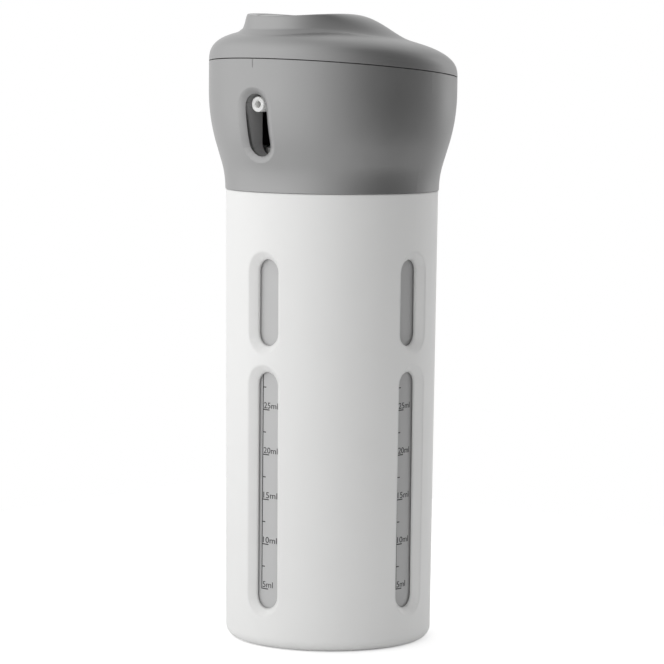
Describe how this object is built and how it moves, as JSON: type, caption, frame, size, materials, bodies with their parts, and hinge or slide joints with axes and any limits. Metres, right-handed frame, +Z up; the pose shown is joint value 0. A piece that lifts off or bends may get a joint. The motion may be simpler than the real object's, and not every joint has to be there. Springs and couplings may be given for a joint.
{
  "type": "toiletry bottle",
  "caption": "Travel dispenser: a round windowed base holds quarter-round pump bottles under a turning, flared head with a domed push cap and a nozzle in a side slot.",
  "frame": {"origin": "centre of the base's footprint, on the table under the bottom face", "axes": "+Z up along the base's axis; -Y is the front, where the nozzle's slot is; +X right"},
  "size_m": [0.0668, 0.0668, 0.1685],
  "materials": {
    "base_white": "fine matte moulded polypropylene",
    "head_grey": "soft matte moulded ABS",
    "bottle_smoke": "translucent smoke PETG, satin outside",
    "closure_white": "moulded polypropylene, fluted",
    "pump_white": "moulded polypropylene",
    "piston_natural": "natural low-density polyethylene",
    "tube_clear": "extruded natural polyethylene",
    "gasket_foam": "closed-cell foam",
    "spring_steel": "drawn stainless wire",
    "ball_steel": "polished stainless ball",
    "ring_grey": "moulded acetal",
    "inner_dark": "moulded ABS, black",
    "nozzle_white": "moulded polypropylene",
    "seal_rubber": "moulded nitrile"
  },
  "bodies": {
    "base": {"base_shell": "base_white", "bottle_1": "bottle_smoke", "bottle_2": "bottle_smoke", "bottle_3": "bottle_smoke", "bottle_4": "bottle_smoke", "closure_1": "closure_white", "closure_2": "closure_white", "closure_3": "closure_white", "closure_4": "closure_white", "neck_gasket_1": "gasket_foam", "neck_gasket_2": "gasket_foam", "neck_gasket_3": "gasket_foam", "neck_gasket_4": "gasket_foam", "pump_housing_1": "pump_white", "pump_housing_2": "pump_white", "pump_housing_3": "pump_white", "pump_housing_4": "pump_white", "inlet_ball_1": "ball_steel", "inlet_ball_2": "ball_steel", "inlet_ball_3": "ball_steel", "inlet_ball_4": "ball_steel", "pump_spring_1": "spring_steel", "pump_spring_2": "spring_steel", "pump_spring_3": "spring_steel", "pump_spring_4": "spring_steel", "dip_tube_1": "tube_clear", "dip_tube_2": "tube_clear", "dip_tube_3": "tube_clear", "dip_tube_4": "tube_clear"},
    "neck": {"neck_ring": "ring_grey"},
    "head": {"head_shell": "head_grey", "cap": "head_grey", "guide_frame": "inner_dark", "button_spring": "spring_steel", "click_springs": "spring_steel"},
    "press": {"button": "head_grey", "spout": "nozzle_white", "seal_washer": "seal_rubber"},
    "pump_1": {"pump_stem_1": "pump_white", "pump_piston_1": "piston_natural"},
    "pump_2": {"pump_stem_2": "pump_white", "pump_piston_2": "piston_natural"},
    "pump_3": {"pump_stem_3": "pump_white", "pump_piston_3": "piston_natural"},
    "pump_4": {"pump_stem_4": "pump_white", "pump_piston_4": "piston_natural"}
  },
  "joints": [
    {"name": "head_lift", "type": "slide", "parent": "base", "child": "neck", "axis": [0, 0, 1], "range_m": [0, 0.06]},
    {"name": "head_turn", "type": "hinge", "parent": "neck", "child": "head", "pos_m": [0, 0, 0.1265], "axis": [0, 0, 1], "continuous": true, "deforming": ["click_springs"]},
    {"name": "press", "type": "slide", "parent": "head", "child": "press", "axis": [0, 0, -1], "range_m": [0, 0.007], "stiffness_N_per_m": 300, "springref_m": -0.003, "deforming": ["button_spring"]},
    {"name": "pump_1_stroke", "type": "slide", "parent": "base", "child": "pump_1", "axis": [0, 0, -1], "range_m": [0, 0.007], "stiffness_N_per_m": 800, "springref_m": -0.004, "deforming": ["pump_spring_1"]},
    {"name": "pump_2_stroke", "type": "slide", "parent": "base", "child": "pump_2", "axis": [0, 0, -1], "range_m": [0, 0.007], "stiffness_N_per_m": 800, "springref_m": -0.004, "deforming": ["pump_spring_2"]},
    {"name": "pump_3_stroke", "type": "slide", "parent": "base", "child": "pump_3", "axis": [0, 0, -1], "range_m": [0, 0.007], "stiffness_N_per_m": 800, "springref_m": -0.004, "deforming": ["pump_spring_3"]},
    {"name": "pump_4_stroke", "type": "slide", "parent": "base", "child": "pump_4", "axis": [0, 0, -1], "range_m": [0, 0.007], "stiffness_N_per_m": 800, "springref_m": -0.004, "deforming": ["pump_spring_4"]}
  ],
  "couplings": [
    {"joint": "pump_1_stroke", "follows": "press", "ratio": 1}
  ]
}
